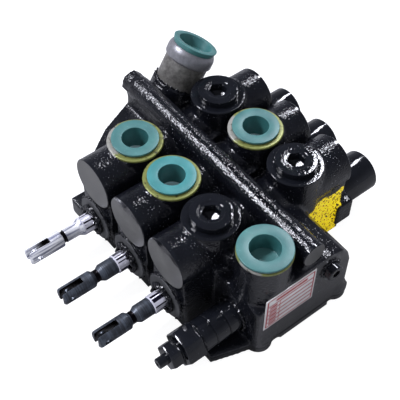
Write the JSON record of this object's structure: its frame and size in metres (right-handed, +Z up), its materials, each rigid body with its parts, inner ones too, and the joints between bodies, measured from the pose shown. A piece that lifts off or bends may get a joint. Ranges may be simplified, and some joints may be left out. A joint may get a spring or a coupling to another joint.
{
  "type": "hydraulic directional control valve",
  "caption": "Cast monoblock hydraulic valve with a row of sprung spools on forked ends, capped ports, a relief cartridge, a leaning return pipe and a bare data plate.",
  "frame": {"origin": "centre of the grid of work ports, on the flat underside of the casting", "axes": "+X along the row of spools towards the inlet section, -Y towards the forked lever ends, +Z up through the ports"},
  "size_m": [0.2225, 0.2541, 0.111],
  "materials": {
    "black_enamel_casting": "gloss black enamel over a sand casting",
    "black_enamel_steel": "gloss black enamel over turned steel",
    "ground_chrome": "ground and hard chromed",
    "phosphated_steel": "dark phosphated",
    "bright_steel": "bright turned",
    "raw_steel_tube": "raw drawn tube",
    "spring_steel": "oiled spring wire",
    "seal_rubber": "nitrile rubber",
    "green_plastic": "soft teal shipping plug",
    "plate_aluminium": "printed aluminium plate"
  },
  "bodies": {
    "housing": {"valve_body": "black_enamel_casting", "front_seal_1": "seal_rubber", "rear_seal_1": "seal_rubber", "spring_cap_1": "black_enamel_steel", "front_seal_2": "seal_rubber", "rear_seal_2": "seal_rubber", "spring_cap_2": "black_enamel_steel", "front_seal_3": "seal_rubber", "rear_seal_3": "seal_rubber", "spring_cap_3": "black_enamel_steel", "port_plug_a1": "green_plastic", "port_plug_a2": "green_plastic", "port_plug_b2": "green_plastic", "port_plug_pressure": "green_plastic", "blank_plug_a3": "black_enamel_steel", "blank_plug_b1": "black_enamel_steel", "blank_plug_b3": "black_enamel_steel", "return_pipe": "raw_steel_tube", "pipe_cap": "green_plastic", "relief_housing": "black_enamel_steel", "relief_spring": "spring_steel", "relief_lock_washer": "black_enamel_steel", "check_plug": "black_enamel_steel", "check_spring": "spring_steel", "name_plate": "plate_aluminium"},
    "spool_1_set": {"spool_1": "ground_chrome", "clevis_end_1": "bright_steel", "spring_seat_inner_1": "bright_steel", "spring_seat_outer_1": "bright_steel", "centering_spring_1": "spring_steel", "stop_bolt_1": "phosphated_steel"},
    "spool_2_set": {"spool_2": "ground_chrome", "clevis_end_2": "phosphated_steel", "spring_seat_inner_2": "bright_steel", "spring_seat_outer_2": "bright_steel", "centering_spring_2": "spring_steel", "stop_bolt_2": "phosphated_steel"},
    "spool_3_set": {"spool_3": "ground_chrome", "clevis_end_3": "phosphated_steel", "spring_seat_inner_3": "bright_steel", "spring_seat_outer_3": "bright_steel", "centering_spring_3": "spring_steel", "stop_bolt_3": "phosphated_steel"},
    "relief_poppet_set": {"relief_poppet": "bright_steel"},
    "relief_seat_set": {"relief_spring_seat": "bright_steel"},
    "adjuster_set": {"relief_adjuster": "black_enamel_steel"},
    "lock_nut_set": {"relief_lock_nut": "black_enamel_steel"},
    "check_poppet_set": {"check_poppet": "bright_steel"}
  },
  "joints": [
    {"name": "spool_1_slide", "type": "slide", "parent": "housing", "child": "spool_1_set", "axis": [0, 1, 0], "range_m": [-0.0065, 0.0065], "stiffness_N_per_m": 6000},
    {"name": "spool_2_slide", "type": "slide", "parent": "housing", "child": "spool_2_set", "axis": [0, 1, 0], "range_m": [-0.0065, 0.0065], "stiffness_N_per_m": 6000},
    {"name": "spool_3_slide", "type": "slide", "parent": "housing", "child": "spool_3_set", "axis": [0, 1, 0], "range_m": [-0.0065, 0.0065], "stiffness_N_per_m": 6000},
    {"name": "relief_poppet_lift", "type": "slide", "parent": "housing", "child": "relief_poppet_set", "axis": [0, -1, 0], "range_m": [0, 0.0015], "stiffness_N_per_m": 2000, "deforming": ["relief_spring"]},
    {"name": "relief_seat_travel", "type": "slide", "parent": "housing", "child": "relief_seat_set", "axis": [0, 1, 0], "range_m": [-0.0024, 0.0024]},
    {"name": "relief_adjuster_turn", "type": "hinge", "parent": "relief_seat_set", "child": "adjuster_set", "pos_m": [0.085, -0.1, 0.024], "axis": [0, 1, 0], "range_deg": [-720, 720]},
    {"name": "lock_nut_turn", "type": "hinge", "parent": "housing", "child": "lock_nut_set", "pos_m": [0.085, -0.104, 0.024], "axis": [0, -1, 0], "range_deg": [0, 360]},
    {"name": "check_poppet_lift", "type": "slide", "parent": "housing", "child": "check_poppet_set", "axis": [1, 0, 0], "range_m": [0, 0.003], "stiffness_N_per_m": 400, "deforming": ["check_spring"]}
  ],
  "couplings": [
    {"joint": "relief_adjuster_turn", "follows": "relief_seat_travel", "rad_per_m": 5026.5}
  ]
}
